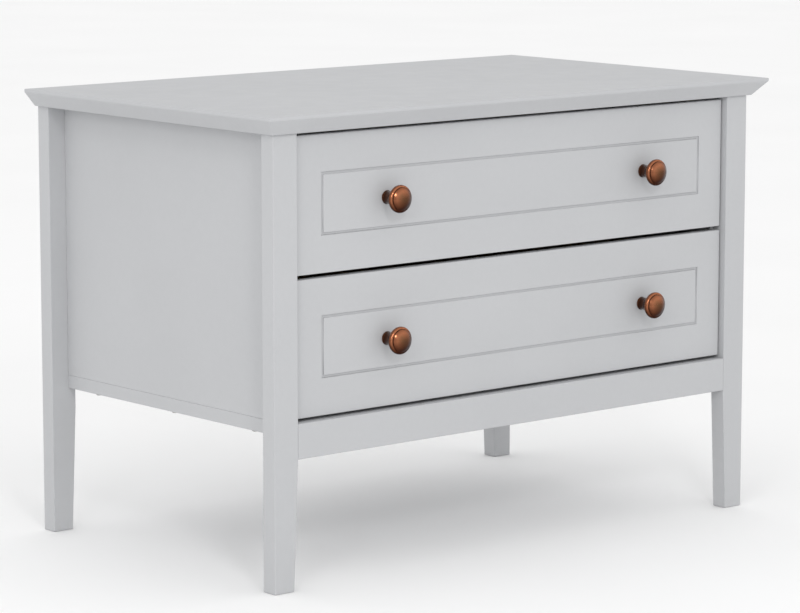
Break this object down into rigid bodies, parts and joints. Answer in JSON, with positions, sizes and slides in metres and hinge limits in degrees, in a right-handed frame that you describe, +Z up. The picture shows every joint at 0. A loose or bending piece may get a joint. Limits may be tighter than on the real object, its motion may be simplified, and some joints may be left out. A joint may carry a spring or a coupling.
{
  "type": "nightstand with drawers",
  "caption": "Low grey painted nightstand: moulded top, tapered legs, inset side panels and full-width drawers with round copper knobs on telescopic slides.",
  "frame": {"origin": "on the floor, under the middle of the whole piece with its knobs", "axes": "+X to the right along the front, +Y to the back, +Z up; the drawers open towards -Y"},
  "size_m": [0.736, 0.4466, 0.505],
  "materials": {
    "grey_paint": "satin light grey paint on wood and fibreboard",
    "painted_hardboard": "satin light grey paint on thin hardboard",
    "drawer_wood": "clear satin lacquer on pale solid wood",
    "drawer_bottom_board": "satin birch-faced board",
    "bare_wood": "bare planed pine",
    "beech": "bare fluted beech",
    "antique_copper": "antique copper plate, rubbed, with dark patina",
    "zinc_steel": "bright zinc-plated rolled steel",
    "screw_steel": "zinc-plated steel"
  },
  "bodies": {
    "cabinet": {"back_left_leg": "grey_paint", "back_panel": "painted_hardboard", "back_rail": "grey_paint", "back_right_leg": "grey_paint", "bottom_panel": "grey_paint", "bottom_panel_screws": "screw_steel", "cleat_screws": "screw_steel", "frame_dowels": "beech", "front_left_leg": "grey_paint", "front_rail": "grey_paint", "front_right_leg": "grey_paint", "left_side_panel": "grey_paint", "left_top_cleat": "bare_wood", "lower_left_slide_outer": "zinc_steel", "lower_right_slide_outer": "zinc_steel", "lower_slide_case_screws": "screw_steel", "right_side_panel": "grey_paint", "right_top_cleat": "bare_wood", "top_board": "grey_paint", "upper_left_slide_outer": "zinc_steel", "upper_right_slide_outer": "zinc_steel", "upper_slide_case_screws": "screw_steel"},
    "upper_drawer": {"upper_box_back": "drawer_wood", "upper_box_bottom": "drawer_bottom_board", "upper_box_dowels": "beech", "upper_box_front": "drawer_wood", "upper_box_left_side": "drawer_wood", "upper_box_right_side": "drawer_wood", "upper_drawer_front": "grey_paint", "upper_front_screws": "screw_steel", "upper_knob_screws": "screw_steel", "upper_left_knob": "antique_copper", "upper_left_slide_inner": "zinc_steel", "upper_right_knob": "antique_copper", "upper_right_slide_inner": "zinc_steel", "upper_slide_box_screws": "screw_steel"},
    "upper_slide_middles": {"upper_left_slide_middle": "zinc_steel", "upper_right_slide_middle": "zinc_steel"},
    "lower_drawer": {"lower_box_back": "drawer_wood", "lower_box_bottom": "drawer_bottom_board", "lower_box_dowels": "beech", "lower_box_front": "drawer_wood", "lower_box_left_side": "drawer_wood", "lower_box_right_side": "drawer_wood", "lower_drawer_front": "grey_paint", "lower_front_screws": "screw_steel", "lower_knob_screws": "screw_steel", "lower_left_knob": "antique_copper", "lower_left_slide_inner": "zinc_steel", "lower_right_knob": "antique_copper", "lower_right_slide_inner": "zinc_steel", "lower_slide_box_screws": "screw_steel"},
    "lower_slide_middles": {"lower_left_slide_middle": "zinc_steel", "lower_right_slide_middle": "zinc_steel"}
  },
  "joints": [
    {"name": "upper_drawer_slide", "type": "slide", "parent": "cabinet", "child": "upper_drawer", "axis": [0, -1, 0], "range_m": [0, 0.33]},
    {"name": "upper_middle_slide", "type": "slide", "parent": "cabinet", "child": "upper_slide_middles", "axis": [0, -1, 0], "range_m": [0, 0.165]},
    {"name": "lower_drawer_slide", "type": "slide", "parent": "cabinet", "child": "lower_drawer", "axis": [0, -1, 0], "range_m": [0, 0.33]},
    {"name": "lower_middle_slide", "type": "slide", "parent": "cabinet", "child": "lower_slide_middles", "axis": [0, -1, 0], "range_m": [0, 0.165]}
  ],
  "couplings": [
    {"joint": "upper_middle_slide", "follows": "upper_drawer_slide", "ratio": 0.5},
    {"joint": "lower_middle_slide", "follows": "lower_drawer_slide", "ratio": 0.5}
  ]
}
